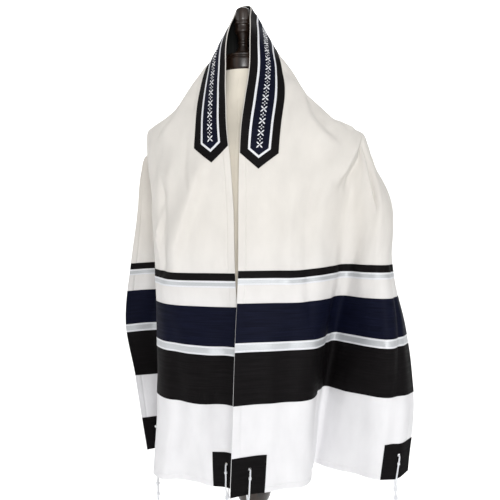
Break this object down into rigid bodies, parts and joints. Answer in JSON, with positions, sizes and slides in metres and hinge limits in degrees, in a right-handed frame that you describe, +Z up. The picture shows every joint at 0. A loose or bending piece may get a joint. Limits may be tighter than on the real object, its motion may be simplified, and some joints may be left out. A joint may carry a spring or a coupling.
{
  "type": "tallit prayer shawl on a dress form",
  "caption": "White prayer shawl with dark bands, a trimmed neckband and knotted corner strings, draped over a limbless dress form on a turned stand.",
  "frame": {"origin": "centre of the underside of the stand's round base, on the floor", "axes": "+Z up, -Y towards the shawl's front, +X towards the side that is on the right when its front is looked at"},
  "size_m": [0.5569, 0.3663, 1.6023],
  "materials": {
    "cloth": "woven wool, matt, warm white",
    "black_band": "woven satin stripe, dull black",
    "navy_band": "woven satin stripe, dark navy",
    "silver_ribbon": "metallic ribbon, silver grey",
    "white_thread": "twisted cotton thread, white",
    "jersey": "cream jersey over a hard body",
    "wood": "dark turned wood, satin varnish"
  },
  "bodies": {
    "root": {"shawl_cloth": "cloth", "band_black_wide_right": "black_band", "ribbon_silver_wide_right": "silver_ribbon", "band_navy_right": "navy_band", "ribbon_silver_narrow_right": "silver_ribbon", "band_black_narrow_right": "black_band", "corner_patch_right_front": "black_band", "corner_patch_right_side": "black_band", "band_black_wide_left": "black_band", "ribbon_silver_wide_left": "silver_ribbon", "band_navy_left": "navy_band", "ribbon_silver_narrow_left": "silver_ribbon", "band_black_narrow_left": "black_band", "corner_patch_left_front": "black_band", "corner_patch_left_side": "black_band", "neckband_ground": "black_band", "neckband_trim": "white_thread", "neckband_panel": "navy_band", "corner_string_left_front": "white_thread", "corner_string_left_side": "white_thread", "corner_string_right_front": "white_thread", "corner_string_right_side": "white_thread", "form_body": "jersey", "form_neck_finial": "wood", "form_pole": "wood", "form_base": "wood"}
  },
  "joints": []
}
